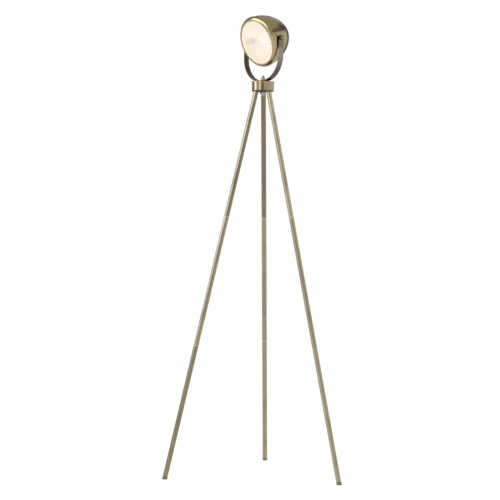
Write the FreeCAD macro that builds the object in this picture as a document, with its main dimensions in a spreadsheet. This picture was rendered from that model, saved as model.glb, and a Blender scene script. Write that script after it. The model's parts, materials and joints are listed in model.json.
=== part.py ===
"""Tripod spotlight floor lamp.

Millimetres, +Z up. The lamp is drawn round the hub's upright axis, from the floor up,
with the head looking towards -Y and tipped a little down at rest. What is written has
its origin on the floor, in the middle of the box round the three feet.
"""

import FreeCAD
import Part
import Sketcher
import math
import os

SHEET_NAME = "sizes"

# The driving dimensions: alias, value, meaning. Lengths in mm, angles in degrees.
DRIVING_SIZES = (
    # Legs
    ("leg_count", 3, "legs round the hub"),
    ("leg_phase", 14.7, "turn of the first leg from +X, with the head looking to -Y"),
    ("leg_tilt", 13.38, "lean of each leg from the upright"),
    ("section_length", 427.5, "length of each of a leg's three tubes"),
    ("tube_dia", 16.0, "outside diameter of the leg tubes"),
    ("tube_wall", 1.2, "wall of the leg tubes"),
    ("tube_edge", 0.4, "bevel at each tube end, which shows as a fine seam"),
    ("screw_dia", 8.0, "thread that joins the tubes"),
    ("screw_reach", 16.0, "thread that stands out of a tube's top end"),
    ("plug_length", 22.0, "part of a stud that is pressed into its tube"),
    ("bush_length", 20.0, "threaded bush at a tube's bottom end"),
    ("foot_height", 8.5, "visible height of a foot cap on the leg's axis"),
    ("foot_dia", 16.6, "outside diameter of a foot cap"),
    ("foot_round", 2.2, "rounding under a foot cap"),
    ("foot_plug", 14.0, "part of a foot cap inside its tube"),
    # Hub
    ("hub_leg_radius", 23.5, "from the hub's axis to each leg's axis at the underside"),
    ("hub_dia", 71.0, "diameter of the hub"),
    ("hub_height", 26.0, "height of the hub under its top plate"),
    ("hub_round", 1.2, "rounding of the hub's lower edge"),
    ("socket_depth", 5.0, "depth to which a leg tube sits in the hub"),
    ("plate_dia", 74.0, "diameter of the hub's top plate"),
    ("plate_height", 6.0, "thickness of the hub's top plate"),
    ("plate_round", 1.4, "rounding of the top plate's edges"),
    # Centre stud and what is on it
    ("stud_dia", 10.0, "centre stud in the hub"),
    ("stud_neck_dia", 8.0, "centre stud above the hub, on which the yoke turns"),
    ("low_washer_dia", 19.6, "washer under the hub"),
    ("low_washer_height", 1.4, "its thickness"),
    ("low_nut_flats", 17.0, "domed nut under the hub, across flats"),
    ("low_nut_hex", 6.0, "height of its hexagon"),
    ("low_nut_height", 12.0, "its whole height"),
    ("pan_washer_dia", 26.0, "fibre washer between hub and yoke"),
    ("pan_washer_height", 1.0, "its thickness"),
    ("top_washer_dia", 16.0, "washer on the yoke's base"),
    ("top_washer_height", 1.4, "its thickness"),
    ("top_nut_flats", 13.0, "domed nut above the yoke, across flats"),
    ("top_nut_hex", 6.5, "height of its hexagon"),
    ("top_nut_height", 14.5, "its whole height"),
    ("nut_skin", 2.0, "metal over the end of a domed nut's thread"),
    # Yoke
    ("strip_width", 19.0, "width of the yoke's flat strip"),
    ("strip_thickness", 3.0, "thickness of the strip"),
    ("arm_room", 2.5, "from the shell's widest place out to each arm"),
    ("yoke_flat", 8.5, "half of the yoke's flat base, between its two bends"),
    ("arm_straight", 55.0, "straight part of an arm, from its bend to the tilt axis"),
    ("arm_tip_flat", 1.0, "straight bit left at the top of a rounded arm"),
    # Head
    ("head_tilt", 21.5, "how far the head looks down at rest"),
    ("shell_dia", 166.0, "largest diameter of the spun shell"),
    ("shell_wall", 1.2, "wall of the shell"),
    ("shell_front", 19.5, "shell's mouth, ahead of the tilt axis"),
    ("shell_depth", 111.0, "depth of the shell behind its mouth"),
    ("shell_side_curve", 1.17, "radius of the shell's long side curve, in shell depths"),
    ("lens_plane", 30.0, "front of the glass's rim, ahead of the tilt axis"),
    ("lens_thickness", 3.0, "thickness of the glass"),
    ("lens_crown", 4.0, "how far the glass bulges"),
    ("bezel_stand", 1.3, "how far the bezel stands out past the shell"),
    ("bezel_slope", 8.3, "breadth of the bezel's rounded shoulder"),
    ("bezel_lip", 1.6, "thickness of the bezel's lip over the glass"),
    ("bezel_lip_flat", 4.5, "flat face of that lip, and its hold on the glass"),
    ("bezel_round", 14.0, "radius of the bezel's rounded shoulder"),
    ("bezel_shoulder", 3.0, "straight edge of the bezel ahead of the shell's mouth"),
    ("bezel_wall", 1.2, "wall of the bezel"),
    ("bezel_skirt", 11.5, "skirt of the bezel inside the shell"),
    ("bezel_screw_dia", 3.0, "screws that hold the bezel in the shell"),
    ("bezel_screw_head", 5.4, "diameter of their heads"),
    ("bezel_screw_set", 5.5, "from the shell's mouth back to these screws"),
    ("bezel_screw_turn", 10.0, "first screw's angle above the tilt axis"),
    ("bezel_screw_count", 3, "number of these screws"),
    ("bezel_screw_length", 6.0, "length of their shanks"),
    ("bezel_screw_dome", 1.6, "height of their heads"),
    ("gasket_thickness", 1.6, "gasket between glass and reflector"),
    ("gasket_width", 4.5, "gasket behind the glass, from its edge inwards"),
    ("gasket_lip", 2.2, "gasket round the glass's edge"),
    ("gasket_lip_set", 1.5, "how far that lip stays behind the front of the glass"),
    ("reflector_wall", 0.8, "wall of the reflector"),
    ("reflector_rim", 2.5, "gap from the visible glass's edge in to the reflector's mouth"),
    ("reflector_radius", 78.0, "radius of the reflector's spun curve"),
    ("reflector_neck_dia", 46.0, "hole at the reflector's back"),
    ("reflector_neck_set", 9.5, "from the middle of the lamp's glass back to that hole"),
    ("ring_width", 5.0, "width of the spring ring behind the reflector's rim"),
    ("ring_room", 1.2, "room round that ring inside the bezel"),
    ("ring_split", 14.0, "gap between that ring's ends"),
    # Lamp and lampholder
    ("holder_dia", 28.0, "lampholder"),
    ("holder_length", 44.0, "its length"),
    ("holder_edge", 1.0, "bevel at its ends"),
    ("holder_back", 5.0, "its rear wall"),
    ("holder_chamber", 9.0, "length of the chamber for its terminals"),
    ("holder_chamber_dia", 19.0, "diameter of that chamber"),
    ("holder_web", 4.0, "wall between the chamber and the lamp's cap"),
    ("bulb_dia", 45.0, "round glass of the lamp"),
    ("bulb_wall", 1.0, "wall of that glass"),
    ("bulb_neck_dia", 12.8, "glass neck where it enters its cap"),
    ("bulb_length", 54.0, "glass, from its neck's end to its front"),
    ("bulb_flare", 50.0, "angle below the ball's middle at which the neck starts"),
    ("cap_dia", 14.0, "the lamp's screw cap"),
    ("cap_length", 25.0, "its length"),
    ("cap_tip_dia", 6.0, "the contact at its end"),
    ("cap_cone", 3.0, "height of the cap's insulating cone"),
    # Cord inlet
    ("nipple_dia", 10.0, "hollow threaded nipple through the shell's back"),
    ("nipple_bore", 7.0, "the cord's way through it"),
    ("nipple_tail", 5.0, "nipple that stands out behind its outer nut"),
    ("lock_nut_dia", 18.0, "round nuts on the nipple"),
    ("lock_nut_height", 4.0, "their thickness"),
    # Tilt hinge
    ("tilt_screw_dia", 6.0, "shank of each tilt screw"),
    ("tilt_head_dia", 14.0, "its round head"),
    ("tilt_head_height", 5.5, "height of that head"),
    ("tilt_head_round", 1.5, "rounding of its rim"),
    ("tilt_washer_dia", 15.0, "washers on both sides of each arm"),
    ("tilt_washer_height", 0.8, "their thickness"),
    ("boss_dia", 16.0, "boss between the shell and the inner washer"),
    ("weld_nut_dia", 13.0, "nut inside the shell"),
    ("weld_nut_height", 5.0, "its thickness on the tilt axis"),
    ("screw_tip", 1.5, "tilt screw that stands out of its nut"),
    # Clearances
    ("press_gap", 0.05, "radial gap of plugs, bushes and threads"),
    ("socket_gap", 0.15, "radial gap round a leg tube in its socket"),
    ("bore_gap", 0.1, "radial gap of bolts in clearance holes"),
    ("pivot_gap", 0.05, "radial gap of the two hinges"),
    ("play", 0.1, "gap beside the yoke's strip at both hinges"),
    ("small_edge", 0.6, "bevel on nuts, washers and screw ends"),
)


class Size:
    """A value together with the spreadsheet expression that gives it."""

    def __init__(self, value, text):
        self.value = value
        self.text = text

    def __add__(self, other):
        other = as_size(other)
        return Size(self.value + other.value, f"({self.text} + {other.text})")

    def __sub__(self, other):
        other = as_size(other)
        return Size(self.value - other.value, f"({self.text} - {other.text})")

    def __mul__(self, other):
        other = as_size(other)
        return Size(self.value * other.value, f"({self.text} * {other.text})")

    def __truediv__(self, other):
        other = as_size(other)
        return Size(self.value / other.value, f"({self.text} / {other.text})")

    def __radd__(self, other):
        return as_size(other) + self

    def __rsub__(self, other):
        return as_size(other) - self

    def __rmul__(self, other):
        return as_size(other) * self

    def __neg__(self):
        return Size(-self.value, f"(0 - {self.text})")


def as_size(number):
    return number if isinstance(number, Size) else Size(number, str(number))


def root(size):
    return Size(math.sqrt(size.value), f"sqrt({size.text})")


def cosine(size):
    return Size(math.cos(math.radians(size.value)), f"cos({size.text})")


def sine(size):
    return Size(math.sin(math.radians(size.value)), f"sin({size.text})")


def tangent(size):
    return Size(math.tan(math.radians(size.value)), f"tan({size.text})")


ZERO = Size(0, "0")
doc = FreeCAD.newDocument("SpotlightFloorLamp")
sheet = doc.addObject("Spreadsheet::Sheet", SHEET_NAME)
subparts = {}


class Sizes:
    """The driving dimensions by name."""


size = Sizes()
for row, (alias, value, meaning) in enumerate(DRIVING_SIZES, start=1):
    sheet.set(f"A{row}", alias)
    sheet.set(f"B{row}", str(value))
    sheet.setAlias(f"B{row}", alias)
    sheet.set(f"C{row}", meaning)
    setattr(size, alias, Size(value, f"{SHEET_NAME}.{alias}"))
doc.recompute()


# ---------------------------------------------------------------------------
# Sketching

def origin_feature(body, role):
    for feature in body.Origin.OriginFeatures:
        if feature.Role == role:
            return feature
    raise ValueError(role)


def new_body(name):
    body = doc.addObject("PartDesign::Body", name)
    body.Label = name
    return body


def new_sketch(body, role, lift=None):
    """An empty sketch on one of the body's own planes, moved off it by lift."""
    sketch = body.newObject("Sketcher::SketchObject", "Sketch")
    sketch.AttachmentSupport = [(origin_feature(body, role), "")]
    sketch.MapMode = "FlatFace"
    if lift is not None:
        sketch.AttachmentOffset = FreeCAD.Placement(
            FreeCAD.Vector(0, 0, lift.value), FreeCAD.Rotation())
        sketch.setExpression("AttachmentOffset.Base.z", lift.text)
    return sketch


def bind(sketch, constraint, text):
    index = sketch.addConstraint(constraint)
    sketch.setExpression(f"Constraints[{index}]", text)


def pin_coordinate(sketch, kind, axis, line, end, size_along):
    """Hold one coordinate of a point at its size."""
    if size_along.value == 0:
        sketch.addConstraint(Sketcher.Constraint("PointOnObject", line, end, axis))
    elif size_along.value > 0:
        bind(sketch, Sketcher.Constraint(kind, -1, 1, line, end, size_along.value),
             size_along.text)
    else:
        bind(sketch, Sketcher.Constraint(kind, line, end, -1, 1, -size_along.value),
             (-size_along).text)


def pin_point(sketch, line, end, point):
    pin_coordinate(sketch, "DistanceX", -2, line, end, point[0])
    pin_coordinate(sketch, "DistanceY", -1, line, end, point[1])


def arc_between(start, finish, radius, turn):
    """The short arc from start to finish; turn is 1 to the left, -1 to the right."""
    chord = finish - start
    middle = (start + finish) * 0.5
    rise = math.sqrt(max(radius * radius - chord.Length * chord.Length / 4, 0))
    aside = FreeCAD.Vector(-chord.y, chord.x, 0).normalize()
    centre = middle + aside * (rise * turn)
    first, last = (start, finish) if turn > 0 else (finish, start)
    circle = Part.Circle(centre, FreeCAD.Vector(0, 0, 1), radius)
    angles = [math.atan2(end.y - centre.y, end.x - centre.x) for end in (first, last)]
    return Part.ArcOfCircle(circle, angles[0], angles[1])


def draw_outline(sketch, path):
    """Close a path of points (x, y), or (x, y, radius, turn) for an arc up to the point."""
    path = [(as_size(step[0]), as_size(step[1])) + tuple(step[2:]) for step in path]
    spots = [FreeCAD.Vector(step[0].value, step[1].value, 0) for step in path]
    ends = []
    for index, step in enumerate(path):
        start = spots[index - 1]
        if len(step) == 2:
            line = sketch.addGeometry(Part.LineSegment(start, spots[index]), False)
            ends.append((line, 1, 2))
        else:
            radius, turn = step[2:]
            line = sketch.addGeometry(
                arc_between(start, spots[index], radius.value, turn), False)
            bind(sketch, Sketcher.Constraint("Radius", line, radius.value), radius.text)
            ends.append((line, 1, 2) if turn > 0 else (line, 2, 1))
    for index, (line, start, finish) in enumerate(ends):
        following, its_start, its_finish = ends[(index + 1) % len(ends)]
        sketch.addConstraint(
            Sketcher.Constraint("Coincident", line, finish, following, its_start))
        pin_point(sketch, line, finish, path[index])


def draw_circle(sketch, centre, radius):
    centre = (as_size(centre[0]), as_size(centre[1]))
    place = FreeCAD.Vector(centre[0].value, centre[1].value, 0)
    circle = sketch.addGeometry(
        Part.Circle(place, FreeCAD.Vector(0, 0, 1), radius.value), False)
    bind(sketch, Sketcher.Constraint("Radius", circle, radius.value), radius.text)
    pin_point(sketch, circle, 3, centre)


# ---------------------------------------------------------------------------
# Features

def spin(body, path, axis="V_Axis", cut=False):
    """Turn a path on the XZ plane right round Z, or round X with axis H_Axis."""
    sketch = new_sketch(body, "XZ_Plane")
    draw_outline(sketch, path)
    feature = body.newObject("PartDesign::Groove" if cut else "PartDesign::Revolution", "Spin")
    feature.Profile = sketch
    feature.ReferenceAxis = (sketch, [axis])
    feature.Angle = 360
    return feature


def turned(name, path, place=None, axis="V_Axis"):
    """A turned piece: one body spun from one path."""
    body = new_body(name)
    spin(body, path, axis)
    if place is not None:
        body.Placement = place
    return body


def ring(inner, outer, low, high):
    """The path of a plain ring: inner and outer radius, low and high end."""
    return [(inner, low), (outer, low), (outer, high), (inner, high)]


def bevelled_ring(inner, outer, low, high, edge):
    """A ring whose two outer edges are bevelled."""
    return [(inner, low), (outer - edge, low), (outer, low + edge),
            (outer, high - edge), (outer - edge, high), (inner, high)]


def pad(body, sketch, length, both_ways=False):
    feature = body.newObject("PartDesign::Pad", "Pad")
    feature.Profile = sketch
    feature.SideType = "Symmetric" if both_ways else "One side"
    feature.setExpression("Length", length.text)
    return feature


def through_cut(body, sketch):
    """Cut a sketch right through the body, to both sides of its plane."""
    feature = body.newObject("PartDesign::Pocket", "Cut")
    feature.Profile = sketch
    feature.Type = "ThroughAll"
    feature.SideType = "Symmetric"
    return feature


def one_side_cut(body, sketch):
    """Cut a sketch through the body on one side of its plane only."""
    feature = body.newObject("PartDesign::Pocket", "Cut")
    feature.Profile = sketch
    feature.Type = "ThroughAll"
    return feature


def drilled(body, role, start, angle, steps, lift=None):
    """A round hole along a slanted line: steps are (distance, radius) from start."""
    along = (cosine(angle), sine(angle))
    across = (-along[1], along[0])

    def spot(distance, radius):
        return (start[0] + along[0] * distance + across[0] * radius,
                start[1] + along[1] * distance + across[1] * radius)

    sketch = new_sketch(body, role, lift)
    path = [spot(steps[0][0], ZERO)]
    path += [spot(distance, radius) for distance, radius in steps]
    path.append(spot(steps[-1][0], ZERO))
    draw_outline(sketch, path)
    ends = [FreeCAD.Vector(end[0].value, end[1].value, 0) for end in (path[0], path[-1])]
    centre_line = sketch.addGeometry(Part.LineSegment(ends[0], ends[1]), True)
    sketch.addConstraint(Sketcher.Constraint("Coincident", centre_line, 1, 0, 2))
    sketch.addConstraint(Sketcher.Constraint("Coincident", centre_line, 2, 0, 1))
    feature = body.newObject("PartDesign::Groove", "Drilling")
    feature.Profile = sketch
    feature.ReferenceAxis = (sketch, ["Axis0"])
    feature.Angle = 360
    return feature


def repeat_round(body, feature, count):
    """Copies of a feature round the body's Z axis."""
    doc.recompute()
    pattern = body.newObject("PartDesign::PolarPattern", "Round")
    pattern.Originals = [feature]
    pattern.Axis = (origin_feature(body, "Z_Axis"), [""])
    pattern.Angle = 360
    pattern.setExpression("Occurrences", count.text)
    body.Tip = pattern
    return pattern


def round_edges(body, feature, radius, wanted):
    """Round the edges of a feature whose middles pass the test."""
    doc.recompute()
    names = [f"Edge{index}" for index, edge in enumerate(feature.Shape.Edges, start=1)
             if wanted(edge.CenterOfMass)]
    rounding = body.newObject("PartDesign::Fillet", "Rounding")
    rounding.Base = (feature, names)
    rounding.setExpression("Radius", radius.text)
    return rounding


def keep(node, shape_object):
    """Enter a finished object as the sub-part of that name, moved to the row's origin."""
    shape_object.Label = node
    shape_object.Placement = row_place().multiply(shape_object.Placement)
    subparts[node] = shape_object


def keep_group(node, members):
    """Enter like pieces as one sub-part of separate solids."""
    group = doc.addObject("Part::Compound", node)
    group.Links = members
    keep(node, group)


# ---------------------------------------------------------------------------
# Places worked out from the driving dimensions

tube_radius = size.tube_dia / 2
tube_bore = tube_radius - size.tube_wall
plug_radius = tube_bore - size.press_gap
screw_radius = size.screw_dia / 2
thread_bore = screw_radius + size.press_gap
foot_radius = size.foot_dia / 2

leg_top = size.foot_height + size.section_length * 3
leg_at_hub = leg_top - size.socket_depth
hub_low = leg_at_hub * cosine(size.leg_tilt)
floor_radius = size.hub_leg_radius + leg_at_hub * sine(size.leg_tilt)
hub_high = hub_low + size.hub_height
plate_high = hub_high + size.plate_height

stud_radius = size.stud_dia / 2
neck_radius = size.stud_neck_dia / 2
neck_bore = neck_radius + size.pivot_gap
pan_washer_high = plate_high + size.pan_washer_height
yoke_low = pan_washer_high + size.play
yoke_base = yoke_low + size.strip_thickness
top_washer_low = yoke_base + size.play
top_nut_low = top_washer_low + size.top_washer_height
low_nut_high = hub_low - size.low_washer_height

shell_radius = size.shell_dia / 2
half_gap = shell_radius + size.arm_room
arm_outside = half_gap + size.strip_thickness
half_strip = size.strip_width / 2
bend_radius = half_gap - size.yoke_flat
tilt_height = yoke_base + bend_radius + size.arm_straight

side_radius = size.shell_depth * size.shell_side_curve
side_centre = shell_radius - side_radius
nose_radius = ((side_centre * side_centre + size.shell_depth * size.shell_depth
                - side_radius * side_radius)
               / (2 * (size.shell_depth - side_radius)))

nose_centre = size.shell_front - (size.shell_depth - nose_radius)
bezel_radius = shell_radius + size.bezel_stand
lens_radius = bezel_radius - size.bezel_slope
view_radius = lens_radius - size.bezel_lip_flat


def leg_turn(index):
    return size.leg_phase.value + index * 360 / size.leg_count.value


def row_place():
    """The move that brings the middle of the feet's box to the origin."""
    turns = [math.radians(leg_turn(index)) for index in range(size.leg_count.value)]
    feet = [[floor_radius.value * way(turn) for turn in turns] for way in (math.cos, math.sin)]
    middle = [(min(line) + max(line)) / 2 for line in feet]
    return FreeCAD.Placement(FreeCAD.Vector(-middle[0], -middle[1], 0), FreeCAD.Rotation())


def leg_place(index):
    """Frame of a leg: Z runs up along its axis from the floor, X points outwards."""
    turn = leg_turn(index)
    upright = FreeCAD.Placement(FreeCAD.Vector(), FreeCAD.Rotation(FreeCAD.Vector(0, 0, 1), turn))
    out = FreeCAD.Placement(FreeCAD.Vector(floor_radius.value, 0, 0), FreeCAD.Rotation())
    lean = FreeCAD.Placement(
        FreeCAD.Vector(),
        FreeCAD.Rotation(FreeCAD.Vector(0, 1, 0), -size.leg_tilt.value))
    return upright.multiply(out).multiply(lean)


def head_place(roll=0):
    """Frame of the head: Z looks out of the lamp, X is the tilt axis, both from its centre."""
    tip = FreeCAD.Rotation(FreeCAD.Vector(1, 0, 0), 90 + size.head_tilt.value)
    about = FreeCAD.Rotation(FreeCAD.Vector(0, 0, 1), roll)
    return FreeCAD.Placement(FreeCAD.Vector(0, 0, tilt_height.value), tip.multiply(about))


def shell_radius_at(station, skin=ZERO):
    """Radius of the shell's side curve at a station, or of a skin inside it."""
    reach = side_radius - skin
    back = size.shell_front - station
    return side_centre + root(reach * reach - back * back)


def shell_back_at(radius, skin=ZERO):
    """Station of the shell's round back at a radius, or of a skin inside it."""
    reach = nose_radius - skin
    return nose_centre - root(reach * reach - radius * radius)


# ---------------------------------------------------------------------------
# Legs

def leg_tube(name, low, place):
    high = low + size.section_length
    path = bevelled_ring(tube_bore, tube_radius, low, high, size.tube_edge)
    keep(name, turned(name, path, place))


def leg_stud(name, seat, place):
    """A plug pressed into a tube's top end, with the thread standing out of it."""
    tip = seat + size.screw_reach
    path = [(ZERO, seat - size.plug_length), (plug_radius, seat - size.plug_length),
            (plug_radius, seat), (screw_radius, seat), (screw_radius, tip - size.small_edge),
            (screw_radius - size.small_edge, tip), (ZERO, tip)]
    keep(name, turned(name, path, place))


def leg_bush(name, low, place):
    path = ring(thread_bore, plug_radius, low, low + size.bush_length)
    keep(name, turned(name, path, place))


def leg_foot(name, place):
    """A domed cap plugged into the lowest tube, cut level where it stands."""
    lowest = -(foot_radius * tangent(size.leg_tilt)) - size.foot_round / 2
    top = size.foot_height
    path = [(ZERO, lowest), (foot_radius - size.foot_round, lowest),
            (foot_radius, lowest + size.foot_round, size.foot_round, 1),
            (foot_radius, top - size.small_edge), (foot_radius - size.small_edge, top),
            (plug_radius, top), (plug_radius, top + size.foot_plug), (ZERO, top + size.foot_plug)]
    body = new_body(name)
    spin(body, path)
    beyond = foot_radius * 2
    rise = beyond * tangent(size.leg_tilt)
    sketch = new_sketch(body, "XZ_Plane")
    draw_outline(sketch, [(-beyond, rise), (-beyond, -beyond), (beyond, -beyond), (beyond, -rise)])
    through_cut(body, sketch)
    body.Placement = place
    keep(name, body)


def leg(index):
    """One leg, from its foot cap up to the stud that screws into the hub."""
    place = leg_place(index)
    name = f"leg_{index + 1}"
    leg_foot(f"{name}_foot", place)
    low = size.foot_height
    for section in ("lower", "middle", "upper"):
        leg_tube(f"{name}_{section}_tube", low, place)
        if section != "lower":
            leg_bush(f"{name}_{section}_bush", low, place)
        low = low + size.section_length
        leg_stud(f"{name}_{section}_stud", low, place)


# ---------------------------------------------------------------------------
# Hub, centre stud, nuts and washers

def hub_body():
    """A turned block with a socket and a threaded hole for each leg."""
    body = new_body("hub_body")
    radius = size.hub_dia / 2
    spin(body, [(stud_radius + size.bore_gap, hub_low), (radius - size.hub_round, hub_low),
                (radius, hub_low + size.hub_round, size.hub_round, 1), (radius, hub_high),
                (stud_radius + size.bore_gap, hub_high)])
    start = (floor_radius, ZERO)
    socket_radius = tube_radius + size.socket_gap
    mouth = leg_at_hub - size.tube_dia
    deep = leg_top + size.screw_reach + size.small_edge
    socket = drilled(body, "XZ_Plane", start, 90 + size.leg_tilt,
                     [(mouth, socket_radius), (leg_top, socket_radius),
                      (leg_top, thread_bore), (deep, thread_bore)])
    repeat_round(body, socket, size.leg_count)
    body.Placement = FreeCAD.Placement(
        FreeCAD.Vector(), FreeCAD.Rotation(FreeCAD.Vector(0, 0, 1), size.leg_phase.value))
    keep("hub_body", body)


def hub_plate():
    radius = size.plate_dia / 2
    bore = stud_radius + size.bore_gap
    edge = size.plate_round
    path = [(bore, hub_high), (radius - edge, hub_high),
            (radius, hub_high + edge, edge, 1), (radius, plate_high - edge),
            (radius - edge, plate_high, edge, 1), (bore, plate_high)]
    keep("hub_plate", turned("hub_plate", path))


def thread_in_nut(height, radius):
    """Length of a stud's thread inside a domed nut, short of the bore's coned end."""
    return height - size.nut_skin - radius / 2 - size.small_edge


def centre_stud():
    low = low_nut_high - thread_in_nut(size.low_nut_height, stud_radius)
    high = top_nut_low + thread_in_nut(size.top_nut_height, neck_radius)
    shoulder = plate_high - size.play
    path = [(ZERO, low), (stud_radius - size.small_edge, low), (stud_radius, low + size.small_edge),
            (stud_radius, shoulder), (neck_radius, shoulder), (neck_radius, high - size.small_edge),
            (neck_radius - size.small_edge, high), (ZERO, high)]
    keep("centre_stud", turned("centre_stud", path))


def washer(name, bore, diameter, low, height):
    path = ring(bore, diameter / 2, low, low + height)
    keep(name, turned(name, path))


def domed_nut(name, flats, hexagon, height, screw, base, upward):
    """A hexagon with a dome over its blind thread."""
    body = new_body(name)
    corner = flats / root(as_size(3))
    half = flats / 2
    sketch = new_sketch(body, "XY_Plane")
    draw_outline(sketch, [(corner, ZERO), (corner / 2, half), (-corner / 2, half),
                          (-corner, ZERO), (-corner / 2, -half), (corner / 2, -half)])
    pad(body, sketch, hexagon)
    edge = size.small_edge
    spin(body, [(half, hexagon), (corner + edge, hexagon - (corner + edge - half) / 2),
                (corner + edge, hexagon + edge), (half, hexagon + edge)], cut=True)
    dome = half - edge
    spin(body, [(ZERO, hexagon - edge), (dome, hexagon - edge), (dome, height - dome),
                (ZERO, height, dome, 1)])
    bore = screw + size.press_gap
    depth = height - size.nut_skin
    spin(body, [(ZERO, ZERO), (bore, ZERO), (bore, depth - bore / 2), (ZERO, depth)], cut=True)
    flip = FreeCAD.Rotation() if upward else FreeCAD.Rotation(FreeCAD.Vector(1, 0, 0), 180)
    body.Placement = FreeCAD.Placement(FreeCAD.Vector(0, 0, base.value), flip)
    keep(name, body)


def hub_group():
    hub_body()
    hub_plate()
    centre_stud()
    washer("bottom_washer", stud_radius + size.bore_gap, size.low_washer_dia,
           low_nut_high, size.low_washer_height)
    domed_nut("bottom_cap_nut", size.low_nut_flats, size.low_nut_hex, size.low_nut_height,
              stud_radius, low_nut_high, upward=False)
    washer("pan_washer", neck_radius + size.bore_gap, size.pan_washer_dia,
           plate_high, size.pan_washer_height)
    washer("top_washer", neck_radius + size.bore_gap, size.top_washer_dia,
           top_washer_low, size.top_washer_height)
    domed_nut("top_cap_nut", size.top_nut_flats, size.top_nut_hex, size.top_nut_height,
              neck_radius, top_nut_low, upward=True)


# ---------------------------------------------------------------------------
# Yoke

def yoke():
    """Flat strip bent to a U, its arm ends rounded and drilled for the tilt screws."""
    body = new_body("yoke")
    tip = tilt_height + half_strip
    bend = bend_radius
    wide_bend = bend + size.strip_thickness
    flat = size.yoke_flat
    sketch = new_sketch(body, "XZ_Plane")
    draw_outline(sketch, [
        (flat, yoke_low), (arm_outside, yoke_low + wide_bend, wide_bend, 1),
        (arm_outside, tip), (half_gap, tip), (half_gap, yoke_base + bend),
        (flat, yoke_base, bend, -1), (-flat, yoke_base),
        (-half_gap, yoke_base + bend, bend, -1), (-half_gap, tip), (-arm_outside, tip),
        (-arm_outside, yoke_low + wide_bend), (-flat, yoke_low, wide_bend, 1)])
    strip = pad(body, sketch, size.strip_width, both_ways=True)
    top = tip.value
    rounding = half_strip - size.arm_tip_flat / 2
    near = size.arm_tip_flat.value
    round_edges(body, strip, rounding, lambda middle: middle.z > top - near
                and abs(middle.y) > half_strip.value - near)
    holes = new_sketch(body, "YZ_Plane")
    draw_circle(holes, (ZERO, tilt_height), size.tilt_screw_dia / 2 + size.pivot_gap)
    through_cut(body, holes)
    base_hole = new_sketch(body, "XY_Plane")
    draw_circle(base_hole, (ZERO, ZERO), neck_bore)
    through_cut(body, base_hole)
    keep("yoke", body)


# ---------------------------------------------------------------------------
# Head: shell, bezel, glass and reflector

def shell():
    """The spun bowl: a long side curve that runs into a rounder back."""
    wall = size.shell_wall
    lean = side_radius - nose_radius
    out = (0 - side_centre) / lean
    back = (size.shell_depth - nose_radius) / lean
    inner_side = side_radius - wall

    def joint(reach):
        return (side_centre + out * reach, size.shell_front - back * reach)

    inlet = size.nipple_dia / 2 + size.bore_gap
    path = [(shell_radius, size.shell_front),
            joint(side_radius) + (side_radius, -1),
            (inlet, shell_back_at(inlet), nose_radius, -1),
            (inlet, shell_back_at(inlet, wall)),
            joint(inner_side) + (nose_radius - wall, 1),
            (shell_radius - wall, size.shell_front, inner_side, 1)]
    body = new_body("shell")
    spin(body, path)
    tilt_holes = new_sketch(body, "YZ_Plane")
    draw_circle(tilt_holes, (ZERO, ZERO), size.tilt_screw_dia / 2 + size.bore_gap)
    through_cut(body, tilt_holes)
    bezel_screw_holes(body, size.bore_gap)
    body.Placement = head_place()
    keep("shell", body)


def bezel_screw_station():
    return size.shell_front - size.bezel_screw_set


def bezel_screw_holes(body, gap):
    """The holes for the bezel's screws, round the head's axis."""
    reach = shell_radius + size.small_edge
    radius = size.bezel_screw_dia / 2 + gap
    hole = drilled(body, "XY_Plane", (ZERO, ZERO), size.bezel_screw_turn,
                   [(shell_radius / 2, radius), (reach, radius)], lift=bezel_screw_station())
    repeat_round(body, hole, size.bezel_screw_count)


def bezel():
    """A hollow ring: a lip over the glass, a rounded shoulder and a skirt in the shell."""
    mouth = size.shell_front
    wall = size.bezel_wall
    skirt_end = mouth - size.bezel_skirt
    skirt = shell_radius_at(skirt_end, size.shell_wall) - size.press_gap
    inside = skirt - wall
    front = size.lens_plane + size.bezel_lip
    rim = bezel_radius
    shoulder = mouth + size.bezel_shoulder
    path = [(view_radius, size.lens_plane), (lens_radius, size.lens_plane),
            (rim - wall, shoulder, size.bezel_round - wall, -1), (rim - wall, mouth + wall),
            (inside, mouth + wall), (inside, skirt_end), (skirt, skirt_end),
            (skirt, mouth), (rim, mouth), (rim, shoulder),
            (lens_radius, front, size.bezel_round, 1), (view_radius, front)]
    body = new_body("bezel")
    spin(body, path)
    bezel_screw_holes(body, size.press_gap)
    body.Placement = head_place()
    keep("bezel", body)


def bezel_screws():
    """Small round-headed screws set radially into the bezel's skirt."""
    members = []
    station = bezel_screw_station()
    shank = size.bezel_screw_dia / 2
    cap = size.bezel_screw_head / 2
    seat = shell_radius_at(station + cap) + size.press_gap
    path = [(seat - size.bezel_screw_length, ZERO), (seat - size.bezel_screw_length, shank),
            (seat, shank), (seat, cap), (seat + size.bezel_screw_dome / 2, cap),
            (seat + size.bezel_screw_dome, cap / 2), (seat + size.bezel_screw_dome, ZERO)]
    for index in range(size.bezel_screw_count.value):
        roll = size.bezel_screw_turn.value + index * 360 / size.bezel_screw_count.value
        forward = FreeCAD.Placement(FreeCAD.Vector(0, 0, station.value), FreeCAD.Rotation())
        members.append(turned(f"bezel_screw_{index + 1}", path,
                              head_place(roll).multiply(forward), "H_Axis"))
    keep_group("bezel_screws", members)


def lens():
    """Glass with a flat rim and a gently bulging middle."""
    flat = view_radius
    crown = size.lens_crown
    bulge = (flat * flat + crown * crown) / (2 * crown)
    front = size.lens_plane
    back = front - size.lens_thickness
    path = [(ZERO, back + crown), (flat, back, bulge, -1), (lens_radius, back),
            (lens_radius, front), (flat, front), (ZERO, front + crown, bulge, 1)]
    keep("lens", turned("lens", path, head_place()))


def gasket_back():
    return size.lens_plane - size.lens_thickness - size.gasket_thickness


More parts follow.
